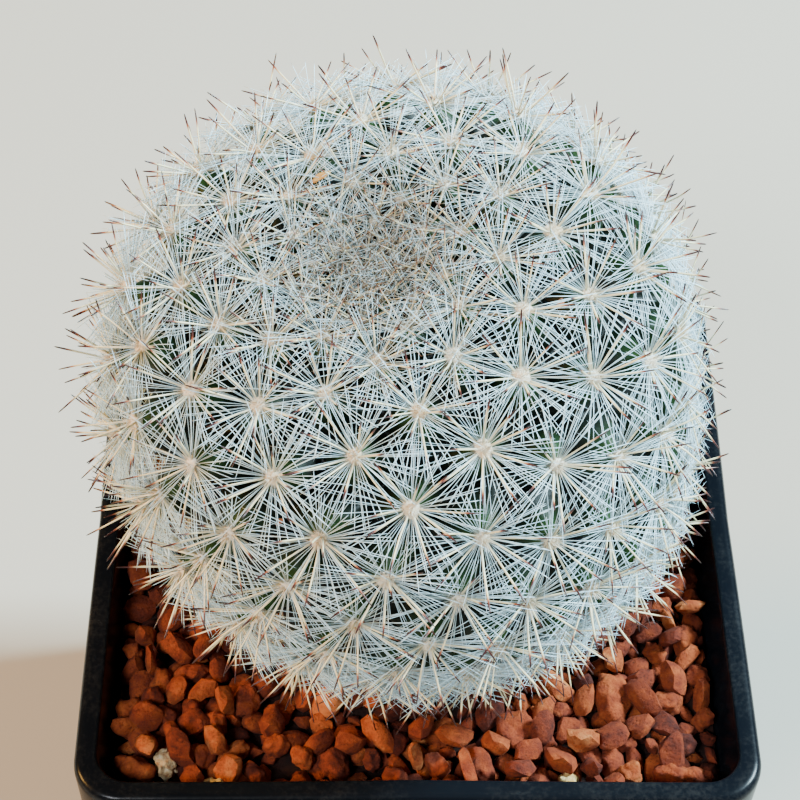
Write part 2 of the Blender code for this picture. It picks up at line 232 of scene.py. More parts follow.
def pot_profile():
    """Half width, corner radius and height along the wall, from the underside round to the inside."""
    under = RIM - POT_WALL
    wall_half = pot_inner_half(under) + POT_WALL
    wall_corner = pot_inner_corner(under) + POT_WALL
    skirt_in = POT_HALF - POT_SKIRT_THICKNESS
    skirt_foot = RIM - POT_SKIRT
    points = np.array([
        (POT_HUB, POT_HUB_CORNER, 0.0),
        (POT_BASE_HALF, POT_BASE_CORNER, 0.0),
        (wall_half, wall_corner, under),
        (skirt_in, POT_RIM_CORNER - POT_SKIRT_THICKNESS, under),
        (skirt_in, POT_RIM_CORNER - POT_SKIRT_THICKNESS, skirt_foot),
        (POT_HALF - SKIRT_DRAFT, POT_RIM_CORNER - SKIRT_DRAFT, skirt_foot),
        (POT_HALF, POT_RIM_CORNER, RIM),
        (pot_inner_half(RIM), POT_INNER_CORNER, RIM),
        (pot_inner_half(POT_FLOOR), pot_inner_corner(POT_FLOOR), POT_FLOOR),
        (POT_HUB, POT_HUB_CORNER, POT_FLOOR),
    ])
    return ease_corners(points, EDGE_TRIMS, 6)


def pot_surface():
    """Sweeps the profile round the square; the long sides bow in slightly between the corners."""
    centres, edges = square_loop(arc_steps=12, side_steps=14)
    half, corner, height = pot_profile().T
    flat = (half - corner)[:, None, None] * centres + corner[:, None, None] * edges
    side = 1 - np.minimum(1, np.abs(flat).min(axis=-1) / POT_HALF)
    bow = SIDE_BOW * side**2 * np.clip(height / RIM, 0, 1)[:, None] ** 2
    flat = flat * (1 - (bow / np.maximum(half, 1 * MM)[:, None])[..., None])
    level = np.broadcast_to(height[:, None, None], (*flat.shape[:2], 1))
    rings = np.concatenate([flat, level], axis=-1)
    count = len(centres)
    points = np.vstack([rings.reshape(-1, 3), (0, 0, 0), (0, 0, POT_FLOOR)])
    first = np.arange(count)
    last = first + (len(half) - 1) * count
    under_cap = np.stack([np.roll(first, -1), first, np.full(count, len(points) - 2)], axis=1)
    floor_cap = np.stack([last, np.roll(last, -1), np.full(count, len(points) - 1)], axis=1)
    return points, [ring_faces(len(half), count), under_cap, floor_cap]


def add_mix(tree, factor, first, second):
    """Mixes two colours by a factor; each may be a socket or a colour."""
    mix = tree.nodes.new("ShaderNodeMix")
    mix.data_type = "RGBA"
    for socket, value in ((mix.inputs[0], factor), (mix.inputs[6], first), (mix.inputs[7], second)):
        if isinstance(value, bpy.types.NodeSocket):
            tree.links.new(value, socket)
        elif isinstance(value, tuple):
            socket.default_value = (*value, 1.0)
        else:
            socket.default_value = value
    return mix.outputs[2]


def add_math(tree, operation, first, second=0.0, clamp=False):
    """One step of arithmetic on two sockets or numbers."""
    step = tree.nodes.new("ShaderNodeMath")
    step.operation = operation
    step.use_clamp = clamp
    for socket, value in zip(step.inputs, (first, second)):
        if isinstance(value, bpy.types.NodeSocket):
            tree.links.new(value, socket)
        else:
            socket.default_value = value
    return step.outputs[0]


def plastic_material():
    """Black satin plastic: a soft flow texture, patches of thin dust, and a slowly changing gloss."""
    material, tree, shader = new_material("pot_plastic", BLACK_PLASTIC, 0.30, 0.10)
    place = add_node(tree, "TexCoord").outputs["Object"]
    cloud = add_node(tree, "TexNoise", Vector=place, Scale=130.0, Detail=6.0, Roughness=0.65)
    speck = add_node(tree, "TexNoise", Vector=place, Scale=1500.0, Detail=3.0, Roughness=0.7)
    dust = add_math(tree, "MULTIPLY", cloud.outputs["Fac"], speck.outputs["Fac"])
    dusty = add_node(tree, "MapRange", Value=dust, From_Min=0.24, From_Max=0.48)
    dust_mask = add_math(tree, "MULTIPLY", dusty.outputs[0], 0.10, clamp=True)
    colour = add_mix(tree, dust_mask, BLACK_PLASTIC, (0.11, 0.105, 0.095))
    tree.links.new(colour, shader.inputs["Base Color"])
    rough = add_node(tree, "MapRange", Value=cloud.outputs["Fac"], To_Min=0.17, To_Max=0.32)
    tree.links.new(rough.outputs[0], shader.inputs["Roughness"])
    grain = add_node(tree, "TexNoise", Vector=place, Scale=900.0, Detail=4.0)
    wave = add_node(tree, "TexNoise", Vector=place, Scale=60.0, Detail=2.0)
    faint_grain = add_math(tree, "MULTIPLY", grain.outputs["Fac"], 0.12)
    height = add_math(tree, "ADD", wave.outputs["Fac"], faint_grain)
    add_bump(tree, shader, height, 0.35, 0.0004)
    return material


def cut_drains(pot):
    """Cuts eight round drain holes through the floor with one joined cutter."""
    turn = np.linspace(0, 2 * math.pi, DRAIN_SIDES, endpoint=False)
    disc = np.stack([np.cos(turn), np.sin(turn)], axis=1) * DRAIN_RADIUS
    cells = [(x, y) for x in (-1, 0, 1) for y in (-1, 0, 1) if x or y]
    points, sides, caps = [], [], []
    for number, (x, y) in enumerate(cells):
        flat = disc + np.array((x, y)) * DRAIN_PITCH
        for level in (-2 * MM, POT_FLOOR + 2 * MM):
            points.append(np.column_stack([flat, np.full(DRAIN_SIDES, level)]))
        start = number * 2 * DRAIN_SIDES
        sides.append(ring_faces(2, DRAIN_SIDES) + start)
        lid = np.arange(DRAIN_SIDES)[None]
        caps += [lid[:, ::-1] + start, lid + start + DRAIN_SIDES]
    cutter = add_surface("drain_cutter", np.vstack(points), sides + caps, pot.data.materials[0])
    cut = pot.modifiers.new("drain", "BOOLEAN")
    cut.solver = "EXACT"
    cut.object = cutter
    graph = bpy.context.evaluated_depsgraph_get()
    drilled = bpy.data.meshes.new_from_object(pot.evaluated_get(graph))
    pot.modifiers.clear()
    pot.data = drilled
    bpy.data.objects.remove(cutter, do_unlink=True)


pot_shell = add_surface("pot_shell", *pot_surface(), plastic_material())
cut_drains(pot_shell)
pot_shell.data.set_sharp_from_angle(angle=math.radians(50))
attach(pot_shell, "root")
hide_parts("square_pot")

# ----------------------------------------------------------
# Potting mix and gravel bed: dark crumbly peat below, and fine dark lava grit on top of it. Both
# keep their solids and get a rough mineral finish; only the grit shows, between the stones.
# ----------------------------------------------------------


def build_pitted_rock():
    """A node group for porous rock: a slow tone change, fine specks, and the height of its pits."""
    group = bpy.data.node_groups.new("pitted_rock", "ShaderNodeTree")
    sockets = group.interface
    sockets.new_socket("Vector", in_out="INPUT", socket_type="NodeSocketVector")
    sockets.new_socket("Scale", in_out="INPUT", socket_type="NodeSocketFloat")
    for name in ("Tone", "Specks", "Height"):
        sockets.new_socket(name, in_out="OUTPUT", socket_type="NodeSocketFloat")
    source = group.nodes.new("NodeGroupInput")
    result = group.nodes.new("NodeGroupOutput")
    place, scale = source.outputs["Vector"], source.outputs["Scale"]
    fine_scale = add_math(group, "MULTIPLY", scale, 5.0)
    tone = add_node(group, "TexNoise", Vector=place, Scale=scale, Detail=4.0, Roughness=0.6)
    fine = add_node(group, "TexNoise", Vector=place, Scale=fine_scale, Detail=5.0, Roughness=0.75)
    pits = add_node(group, "TexVoronoi", Vector=place, Scale=add_math(group, "MULTIPLY", scale, 3.0))
    hollow = add_node(group, "MapRange", Value=pits.outputs["Distance"], From_Min=0.05, From_Max=0.45)
    rough = add_math(group, "MULTIPLY", fine.outputs["Fac"], 0.9)
    height = add_math(group, "ADD", add_math(group, "MULTIPLY", hollow.outputs[0], 0.35), rough)
    group.links.new(tone.outputs["Fac"], result.inputs["Tone"])
    group.links.new(fine.outputs["Fac"], result.inputs["Specks"])
    group.links.new(height, result.inputs["Height"])
    return group


pitted_rock = build_pitted_rock()
TONE_SPREAD = 1.3


def add_ramp(tree, factor, stops):
    """A colour ramp of (place, colour) stops read at a factor; puts out the colour."""
    ramp = tree.nodes.new("ShaderNodeValToRGB")
    elements = ramp.color_ramp.elements
    while len(elements) < len(stops):
        elements.new(0.5)
    for element, (place, colour) in zip(elements, stops):
        element.position = place
        element.color = (*colour, 1.0)
    tree.links.new(factor, ramp.inputs["Fac"])
    return ramp.outputs["Color"]


def rock_material(name, grain, stops, depth, toned):
    """Porous rock whose colour runs over stops by its tone, plus the stone's own where toned, with painted
    shade darkening its pits.
    """
    material, tree, shader = new_material(name, stops[1][1], 0.9, 0.25)
    place = add_node(tree, "TexCoord").outputs["Object"]
    rock = tree.nodes.new("ShaderNodeGroup")
    rock.node_tree = pitted_rock
    tree.links.new(place, rock.inputs["Vector"])
    rock.inputs["Scale"].default_value = grain
    tone = rock.outputs["Tone"]
    if toned:
        own = add_node(tree, "Attribute", attribute_name="tone").outputs["Fac"]
        spread = add_math(tree, "MULTIPLY", add_math(tree, "SUBTRACT", tone, 0.5), TONE_SPREAD)
        tone = add_math(tree, "ADD", own, spread, clamp=True)
    colour = add_ramp(tree, tone, stops)
    # Painted shade in the pits: where the fine specks run low, which is where the bump sinks, the colour
    # goes towards a dark copy of the first stop.
    pit_shade_colour = tuple(0.30 * value for value in stops[0][1])
    pit_shade = add_node(tree, "MapRange", Value=rock.outputs["Specks"],
                   From_Min=0.30, From_Max=0.46, To_Min=0.75, To_Max=0.0)
    colour = add_mix(tree, pit_shade.outputs[0], colour, pit_shade_colour)
    tree.links.new(colour, shader.inputs["Base Color"])
    add_bump(tree, shader, rock.outputs["Height"], 0.8, depth)
    return material


PEAT = ((0.25, (0.010, 0.007, 0.005)), (0.55, (0.035, 0.022, 0.014)), (0.8, (0.075, 0.050, 0.032)))
GRIT = ((0.25, (0.004, 0.002, 0.0015)), (0.55, (0.018, 0.005, 0.003)), (0.8, (0.045, 0.012, 0.006)))
LAVA = ((0.0, (0.040, 0.006, 0.003)), (0.30, (0.125, 0.019, 0.006)), (0.55, (0.210, 0.037, 0.009)),
        (0.80, (0.300, 0.066, 0.015)), (1.0, (0.400, 0.130, 0.040)))
BUFF = ((0.2, (0.26, 0.12, 0.05)), (0.45, (0.52, 0.38, 0.20)), (0.75, (0.72, 0.64, 0.48)))
OCHRE = ((0.2, (0.20, 0.07, 0.02)), (0.5, (0.42, 0.22, 0.06)), (0.85, (0.62, 0.46, 0.20)))

for node_name, stops in (("potting_mix", PEAT), ("gravel_bed", GRIT)):
    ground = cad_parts[node_name]
    ground_material = rock_material(node_name + "_ground", 420.0, stops, 0.0006, toned=False)
    for slot in ground.material_slots:
        slot.material = ground_material

# ----------------------------------------------------------
# Large stones: crushed red lava rock of 3 to 10 mm, and three paler pebbles among it. Each keeps
# the outline of its solid, with worn edges and a porous, matt face.
# ----------------------------------------------------------
STONE_NAMES = sorted(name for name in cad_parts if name.startswith("stone_"))
PALE_STONES = ("stone_05",)
OCHRE_STONES = ("stone_20", "stone_42")
EDGE_SHARPNESS = 60
STONE_SWELL = 1.02
LUMP_LENGTH, LUMP_HEIGHT = 2.6 * MM, 0.22
CRAG_LENGTH = 1.0 * MM


def unit_sphere(subdivisions):
    """Points and triangles of a sphere of near-equal triangles, centred at the origin."""
    shape = bmesh.new()
    bmesh.ops.create_icosphere(shape, subdivisions=subdivisions, radius=1.0)
    shape.verts.ensure_lookup_table()
    points = np.array([vert.co for vert in shape.verts])
    faces = np.array([[vert.index for vert in face.verts] for face in shape.faces])
    shape.free()
    return points, faces


def soft_polyhedron(rays, normals, reaches, sharpness):
    """How far each ray goes inside a set of planes, their meeting edges rounded by a power mean."""
    crossing = np.maximum(np.einsum("vk,...pk->...vp", rays, normals), 0) / reaches[..., None, :]
    return (crossing**sharpness).sum(axis=-1) ** (-1 / sharpness)


def ripple(points, count, scale, seed):
    """Seeded sum of sine waves over space, between about -1 and 1, with waves of a given length."""
    random = np.random.default_rng(seed)
    waves = random.normal(size=(count, 3))
    waves *= (2 * math.pi / scale) * random.uniform(0.6, 1.6, (count, 1))
    waves /= np.linalg.norm(waves, axis=1, keepdims=True) / (2 * math.pi / scale)
    phase = random.uniform(0, 2 * math.pi, count)
    return np.sin(points @ waves.T + phase).sum(axis=-1) / math.sqrt(count)


def joined_copies(points, faces, count):
    """Face indices for a number of copies of one mesh, one after another."""
    return (faces[None] + np.arange(count)[:, None, None] * len(points)).reshape(-1, faces.shape[1])


def store_values(piece, name, values):
    """Stores one number for each point of a piece, for its material to read by name."""
    layer = piece.data.attributes.new(name, "FLOAT", "POINT")
    layer.data.foreach_set("value", values.astype(np.float32))


def node_planes(node):
    """The middle, plane normals and plane distances of a faceted convex solid."""
    mesh = node.data
    places = np.empty(len(mesh.vertices) * 3, dtype=np.float32)
    mesh.vertices.foreach_get("co", places)
    places = places.reshape(-1, 3).astype(float)
    normals = np.array([face.normal[:] for face in mesh.polygons])
    centres = np.array([face.center[:] for face in mesh.polygons])
    middle = (places.min(axis=0) + places.max(axis=0)) / 2
    _, kept = np.unique(normals.round(2), axis=0, return_index=True)
    return middle, normals[kept], np.einsum("fk,fk->f", centres[kept] - middle, normals[kept])


def carve_stones(names, seed, crag):
    """One stone for each solid: rays from its middle meet its softened planes.

    Two ripples then move each point along its ray: broad lumps, and a fine one as high as its crag.
    """
    rays, triangles = unit_sphere(4)
    bodies = []
    for number, name in enumerate(names):
        middle, normals, reaches = node_planes(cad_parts[name])
        reach = soft_polyhedron(rays, normals, reaches, EDGE_SHARPNESS)
        points = rays * reach[:, None]
        lump = ripple(points, 8, LUMP_LENGTH, seed + number) * LUMP_HEIGHT
        fine = ripple(points, 14, CRAG_LENGTH, seed + 100 + number) * crag
        bodies.append(middle + points * (STONE_SWELL + (lump + fine)[:, None] * MM / reach[:, None]))
    return np.vstack(bodies), joined_copies(rays, triangles, len(names)), len(rays)


lava_material = rock_material("red_lava", 520.0, LAVA, 0.00036, toned=True)
buff_material = rock_material("buff_stone", 900.0, BUFF, 0.00030, toned=True)
ochre_material = rock_material("ochre_stone", 700.0, OCHRE, 0.00025, toned=True)
stone_random = np.random.default_rng(7)
lava_names = [name for name in STONE_NAMES if name not in PALE_STONES + OCHRE_STONES]
for piece_name, names, material, slot_names, seed, crag in (
    ("large_stones", lava_names, lava_material, "gravel", 10, 0.10),
    ("pale_stones", PALE_STONES, buff_material, "pale_stone", 400, 0.26),
    ("ochre_stones", OCHRE_STONES, ochre_material, "ochre_stone", 500, 0.18),
):
    stone_points, stone_faces, per_stone = carve_stones(names, seed, crag)
    stones = add_surface(piece_name, stone_points, [stone_faces], material)
    stone_tones = np.clip(stone_random.normal(0.52, 0.20, len(names)), 0.05, 0.95)
    store_values(stones, "tone", np.repeat(stone_tones, per_stone))
    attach(stones, "root")
    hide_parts(*names)

# ----------------------------------------------------------
# Small stones: the same lava rock, 2 to 5 mm, poured between the large ones. They are settled as
# round grains, then each is cut as a rough little block.
# ----------------------------------------------------------
SMALL_STONES = 880
SMALL_RADII = 0.95 * MM, 2.25 * MM
SMALL_SHARPNESS = 40
BED_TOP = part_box("gravel_bed")[1].z - 0.7 * MM
GLOBE_CENTRE = Vector((-0.7 * MM, -5.1 * MM, RIM + 29.9 * MM))
STEM_AXIS = Vector((-0.152, -0.175, 0.977)).normalized()
STEM_CLEAR = 24.0 * MM
BLOCK_SHARES = (1.0, 1.38), (0.75, 1.05), (0.50, 0.90)
BLOCK_REACH = 1.18
SETTLE_TURNS = 220
SETTLE_DROP = 0.06 * MM


def settle(count, low, high, seed):
    """Drops round grains between the pot's wall, the stem and the large stones until they rest."""
    random = np.random.default_rng(seed)
    radius = random.uniform(low, high, count)
    room = pot_inner_half(BED_TOP) - 1 * MM
    place = np.column_stack([random.uniform(-room, room, (count, 2)), BED_TOP + radius * 1.5])
    stones = [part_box(name) for name in STONE_NAMES]
    middles = np.array([(low_corner + high_corner) / 2 for low_corner, high_corner in stones])
    halves = np.array([(high_corner - low_corner) / 2 for low_corner, high_corner in stones])
    drop = (BED_TOP - GLOBE_CENTRE.z) / STEM_AXIS.z
    foot = np.array((GLOBE_CENTRE + STEM_AXIS * drop).xy)
    for _ in range(SETTLE_TURNS):
        place[:, 2] -= SETTLE_DROP
        gap = place[:, None] - place[None]
        span = np.linalg.norm(gap, axis=-1) + np.eye(count)
        overlap = np.clip((radius[:, None] + radius[None]) * 0.93 - span, 0, None)
        np.fill_diagonal(overlap, 0)
        place += (gap / span[..., None] * overlap[..., None]).sum(axis=1) * 0.35
        gap = place[:, None] - middles[None]
        reach = np.linalg.norm(gap / (halves[None] * 0.9 + radius[:, None, None] * 0.8), axis=-1)
        push = np.clip(1 - reach, 0, None)[..., None] * gap / np.maximum(reach, 0.1)[..., None]
        place += push.sum(axis=1) * 0.6
        away = place[:, :2] - foot
        distance = np.linalg.norm(away, axis=1, keepdims=True)
        place[:, :2] += away / distance * np.clip(STEM_CLEAR - distance, 0, None)
        wall = pot_inner_half(BED_TOP) - radius * 0.95
        place[:, :2] = np.clip(place[:, :2], -wall[:, None], wall[:, None])
        place[:, 2] = np.maximum(place[:, 2], BED_TOP + radius * 0.7)
    return place, radius


def small_blocks(count, seed):
    """Rough blocks: each a sphere cut by random planes, stretched, turned and put on its grain."""
    rays, triangles = unit_sphere(2)
    random = np.random.default_rng(seed)
    place, radius = settle(count, *SMALL_RADII, seed + 1)
    normals = random.normal(size=(count, 5, 3))
    normals /= np.linalg.norm(normals, axis=-1, keepdims=True)
    normals = np.concatenate([normals, -normals[:, :4]], axis=1)
    reach = soft_polyhedron(rays, normals, random.uniform(0.55, 1.0, (count, 9)), SMALL_SHARPNESS)
    turns, _ = np.linalg.qr(random.normal(size=(count, 3, 3)))
    stretch = np.stack([random.uniform(*limits, count) for limits in BLOCK_SHARES], axis=-1)[:, None]
    turns[:, :, 0] *= np.sign(np.linalg.det(turns))[:, None]
    block = rays[None] * np.minimum(reach, BLOCK_REACH)[..., None] * stretch * radius[:, None, None]
    points = np.einsum("cvk,cjk->cvj", block, turns) + place[:, None]
    return points.reshape(-1, 3), joined_copies(rays, triangles, count), len(rays)


small_points, small_faces, per_small = small_blocks(SMALL_STONES, 31)
small_stones = add_surface("small_stones", small_points, [small_faces], lava_material)
small_stones.data.set_sharp_from_angle(angle=math.radians(38))
small_tones = np.clip(stone_random.normal(0.44, 0.20, SMALL_STONES), 0.02, 0.95)
store_values(small_stones, "tone", np.repeat(small_tones, per_small))
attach(small_stones, "root")

# ----------------------------------------------------------
# Cactus body: dark green waxy skin, swollen into one tubercle under each spine cushion, in a
# golden-angle spiral round the leaning stem. It turns to tan cork where it meets the gravel.
# ----------------------------------------------------------
BREADTH = 1.02
FLAT_SIDE = 31 * MM
FLAT_SHARE = 0.68
HALF_PROFILE = np.array((
    (0.0, 35.5), (6.9, 36.1), (14.8, 36.7), (29.2, 30.2), (34.7, 15.5), (35.4, 0.0),
    (30.9, -14.4), (23.9, -25.7), (19.6, -33.5), (16.0, -41.0), (9.0, -49.5), (0.0, -54.0),
)) * MM
GOLDEN_ANGLE = math.radians(137.508)
FIRST_AREOLE = math.radians(161.5)
AREOLE_CELL = 88.8 * MM * MM
CROWN_CELL_RATIO = 0.072
CROWN_WIDTH = 18.6 * MM
LOWEST_AREOLE = -34.5 * MM
BODY_ROWS = 240
BODY_COLUMNS = 360
VALLEY_DEPTH = 0.50
VALLEY_START = 0.85
POLE_HOLE = 0.15 * MM


def half_profile():
    """Radius, height and distance along the outline: a Catmull-Rom curve through its points."""
    before = np.vstack([HALF_PROFILE[1] * (-1, 1), HALF_PROFILE[:-1]])
    after = np.vstack([HALF_PROFILE[1:], HALF_PROFILE[-2] * (-1, 1)])
    slopes = (after - before) / 2
    share = np.linspace(0, 1, 40, endpoint=False)[:, None]
    spans = [
        (2 * share**3 - 3 * share**2 + 1) * start + (share**3 - 2 * share**2 + share) * leave
        + (3 * share**2 - 2 * share**3) * end + (share**3 - share**2) * arrive
        for start, end, leave, arrive in zip(HALF_PROFILE, HALF_PROFILE[1:], slopes, slopes[1:])
    ]
    curve = np.vstack(spans + [HALF_PROFILE[-1:]])
    radius = np.maximum(curve[:, 0], 0)
    steps = np.hypot(np.diff(radius), np.diff(curve[:, 1]))
    return radius, curve[:, 1], np.concatenate([[0], np.cumsum(steps)])


def turn_profile(radius, height, slope_r, slope_z, angle):
    """Places, outward directions and downhill directions of points turned round the stem."""
    length = np.hypot(slope_r, slope_z)
    round_about = np.stack([np.cos(angle), np.sin(angle)], axis=-1)
    level = np.broadcast_to(height, angle.shape)[..., None]
    reach = np.broadcast_to(radius, angle.shape)[..., None]
    places = np.concatenate([round_about * reach, level], axis=-1)
    out = np.broadcast_to(-slope_z / length, angle.shape)
    up = np.broadcast_to(slope_r / length, angle.shape)
    normals = np.concatenate([round_about * out[..., None], up[..., None]], axis=-1)
    downhill = np.concatenate([round_about * up[..., None], -out[..., None]], axis=-1)
    return places, normals, downhill


def lean(vectors):
    """Turns directions of the upright plant to its leaning stem, broadened a little along X."""
    turn = np.array(Vector((0, 0, 1)).rotation_difference(STEM_AXIS).to_matrix())
    return (vectors @ turn.T) * (BREADTH, 1, 1)


def plant_in_pot(points):
    """Stands leaned points in the pot. Past its flatter right side they are drawn in to a share."""
    placed = points + np.array(GLOBE_CENTRE)
    placed[:, 0] -= (1 - FLAT_SHARE) * np.maximum(placed[:, 0] - FLAT_SIDE, 0)
    return placed


def areole_lattice():
    """Areoles in a golden-angle spiral: place, outward and downhill directions, spacing and row.

    Areas along the profile are counted off in cells that are equal on the flank and shrink
    towards the crown, and each next areole turns by the golden angle.
    """
    radius, height, along = half_profile()
    middle = (along[1:] + along[:-1]) / 2
    cell = AREOLE_CELL * (1 - (1 - CROWN_CELL_RATIO) * np.exp(-(middle / CROWN_WIDTH) ** 2))
    band = math.pi * (radius[1:] + radius[:-1]) * np.diff(along)
    count = np.concatenate([[0], np.cumsum(band / cell)])
    lowest = np.argmax(height < LOWEST_AREOLE)
    index = np.arange(int(count[lowest]))

    def at(values):
        """Values of the profile at each areole's count."""
        return np.interp(index + 0.5, count, values)

    angle = FIRST_AREOLE - GOLDEN_ANGLE * index
    slopes = at(np.gradient(radius)), at(np.gradient(height))
    places, normals, downhill = turn_profile(at(radius), at(height), *slopes, angle)
    spacing = np.sqrt(np.interp(at(along), middle, cell) * 2 / math.sqrt(3))
    return places, normals, downhill, spacing, at(along)


areoles, areole_out, areole_down, areole_spacing, areole_along = areole_lattice()


def cactus_surface():
    """The outline turned round the stem and pressed in between areoles.

    The depth grows as the distances to the nearest two areoles become equal, which leaves a
    rounded cone on each areole and a sharp valley between neighbours.
    """
    radius, height, along = half_profile()
    where = np.linspace(0, along[-1], BODY_ROWS)
    where[0], where[-1] = POLE_HOLE, along[-1] - POLE_HOLE
    angle = np.linspace(0, 2 * math.pi, BODY_COLUMNS, endpoint=False)
    angle = np.broadcast_to(angle, (BODY_ROWS, BODY_COLUMNS))
    ring = np.interp(where, along, radius)[:, None]
    level = np.interp(where, along, height)[:, None]
    slope_r = np.interp(where, along, np.gradient(radius, along))[:, None]
    slope_z = np.interp(where, along, np.gradient(height, along))[:, None]
    places, normals, _ = turn_profile(ring, level, slope_r, slope_z, angle)
    evenness = np.empty(angle.shape)
    spacing = np.empty(angle.shape)
    for row in range(BODY_ROWS):
        gap = np.linalg.norm(places[row][:, None] - areoles[None], axis=-1)
        nearest = np.partition(gap, 1, axis=1)
        spacing[row] = areole_spacing[gap.argmin(axis=1)]
        evenness[row] = np.clip((nearest[:, 1] - nearest[:, 0]) / spacing[row], 0, 1)
    press = np.clip((VALLEY_START - evenness) / VALLEY_START, 0, 1) ** 1.15
    flank = np.clip((level + 38 * MM) / (6 * MM), 0, 1)
    depth = press * spacing * VALLEY_DEPTH * flank
    body = places - normals * depth[..., None]
    pitch = ripple(body.reshape(-1, 3), 12, 1.6 * MM, 5).reshape(angle.shape)
    body = body + normals * (pitch * 0.05 * MM)[..., None]
    points = np.vstack([body.reshape(-1, 3), body[0].mean(axis=0), body[-1].mean(axis=0)])
    first = np.arange(BODY_COLUMNS)
    last = first + (BODY_ROWS - 1) * BODY_COLUMNS
    top = np.stack([np.full(BODY_COLUMNS, len(points) - 2), first, np.roll(first, -1)], axis=1)
    bottom = np.stack([np.full(BODY_COLUMNS, len(points) - 1), np.roll(last, -1), last], axis=1)
    # The press depth is also kept for the skin's painted shade: the deeper the valley, the darker the
    # green.
    shade = np.concatenate([press.ravel(), [0, 0]])
    skin = ring_faces(BODY_ROWS, BODY_COLUMNS, flip=True)
    return plant_in_pot(lean(points)), [skin, top, bottom], shade


def skin_material():
    """Waxy green skin with painted shade: palest on the tubercle tops and nearly black deep in the valleys,
    where shade falls; cork at the foot.
    """
    material, tree, shader = new_material("cactus_skin", (0.035, 0.075, 0.022), 0.42, 0.12)
    place = add_node(tree, "TexCoord").outputs["Object"]
    # Painted shade: the green darkens to nearly black as the valley deepens.
    valley_shade = add_node(tree, "Attribute", attribute_name="valley_shade").outputs["Fac"]
    mottle = add_node(tree, "TexNoise", Vector=place, Scale=900.0, Detail=4.0)
    shifted = add_math(tree, "ADD", valley_shade, add_math(tree, "MULTIPLY", mottle.outputs["Fac"], 0.25))
    green_with_valley_shade = add_ramp(tree, shifted, (
        (0.10, (0.034, 0.078, 0.018)), (0.40, (0.009, 0.027, 0.007)),
        (0.70, (0.002, 0.006, 0.002)), (1.0, (0.001, 0.002, 0.001)),
    ))
    level = add_node(tree, "SeparateXYZ", Vector=place).outputs["Z"]
    cork = add_node(tree, "MapRange", Value=level, From_Min=RIM + 1 * MM, From_Max=RIM - 4 * MM)
    colour = add_mix(tree, cork.outputs[0], green_with_valley_shade, (0.20, 0.12, 0.06))
    tree.links.new(colour, shader.inputs["Base Color"])
    add_bump(tree, shader, mottle.outputs["Fac"], 0.3, 0.00015)
    return material


body_points, body_faces, body_valley_shade = cactus_surface()
cactus_body = add_surface("cactus_body", body_points, body_faces, skin_material())
# Stores the valley depth for the skin's painted shade.
store_values(cactus_body, "valley_shade", body_valley_shade)
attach(cactus_body, "root")
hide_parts("cactus")

# ----------------------------------------------------------
# Areole wool: a felted cream cushion of short hairs on top of each tubercle, where the spines
# come out. Young ones at the crown are smaller and stand close together.
# ----------------------------------------------------------
WOOL_RADIUS = 1.02 * MM


def wool_cushions(seed):
    """One lumpy flattened ball for each areole, its half-axes along the areole's own directions."""
    rays, triangles = unit_sphere(2)
    random = np.random.default_rng(seed)
    count = len(areoles)
    share = np.clip(areole_spacing / areole_spacing.max(), 0.35, 1) ** 0.7
    size = WOOL_RADIUS * share * random.uniform(0.85, 1.15, count)
    side = np.cross(areole_out, areole_down)
    lumps = 1 + 0.10 * random.normal(size=(count, len(rays)))
    local = rays[None] * lumps[..., None] * size[:, None, None] * (1.0, 1.15, 0.62)
    points = (
        local[..., :1] * side[:, None] + local[..., 1:2] * areole_down[:, None]
        + local[..., 2:] * areole_out[:, None]
    )
    points = points + (areoles + areole_out * 0.25 * MM)[:, None]
    return plant_in_pot(lean(points.reshape(-1, 3))), joined_copies(rays, triangles, count)


def wool_material():
    """Cream felt: soft colour change, and a fine fibrous bump."""
    material, tree, shader = new_material("areole_wool", (0.74, 0.66, 0.52), 0.95)
    place = add_node(tree, "TexCoord").outputs["Object"]
    slow = add_node(tree, "TexNoise", Vector=place, Scale=60.0, Detail=2.0)
    fibre = add_node(tree, "TexNoise", Vector=place, Scale=2600.0, Detail=4.0, Roughness=0.7)
    mixed = add_math(tree, "ADD", add_math(tree, "MULTIPLY", slow.outputs["Fac"], 0.6),
                     add_math(tree, "MULTIPLY", fibre.outputs["Fac"], 0.4))
    colour = add_ramp(tree, mixed, (
        (0.30, (0.44, 0.25, 0.10)), (0.46, (0.70, 0.54, 0.34)), (0.66, (0.84, 0.82, 0.74)),
    ))
    tree.links.new(colour, shader.inputs["Base Color"])
    add_bump(tree, shader, fibre.outputs["Fac"], 0.9, 0.0003)
    shader.inputs["Sheen Weight"].default_value = 0.5
    return material


wool_points, wool_faces = wool_cushions(3)
areole_wool = add_surface("areole_wool", wool_points, [wool_faces], wool_material())
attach(areole_wool, "root")

# ----------------------------------------------------------
# Radial spines: over 70 thin stiff glassy-white needles on each areole, half of them low and half
# raised, spread over its neighbours. At the crown they are new, and shorter, thinner and fewer.
# ----------------------------------------------------------
TINT_BANDS = 32
GRAVEL_CLEAR = RIM - 4.0 * MM
RADIAL_SPINES = 74
RADIAL_LENGTH = 8.3 * MM
RADIAL_THICKNESS = 0.108 * MM
RADIAL_FEET = 0.62 * MM
CROWN_SPREAD = 14 * MM
YOUNG_TILT = math.radians(48)
SHORTEST_SPINE = 1.2 * MM


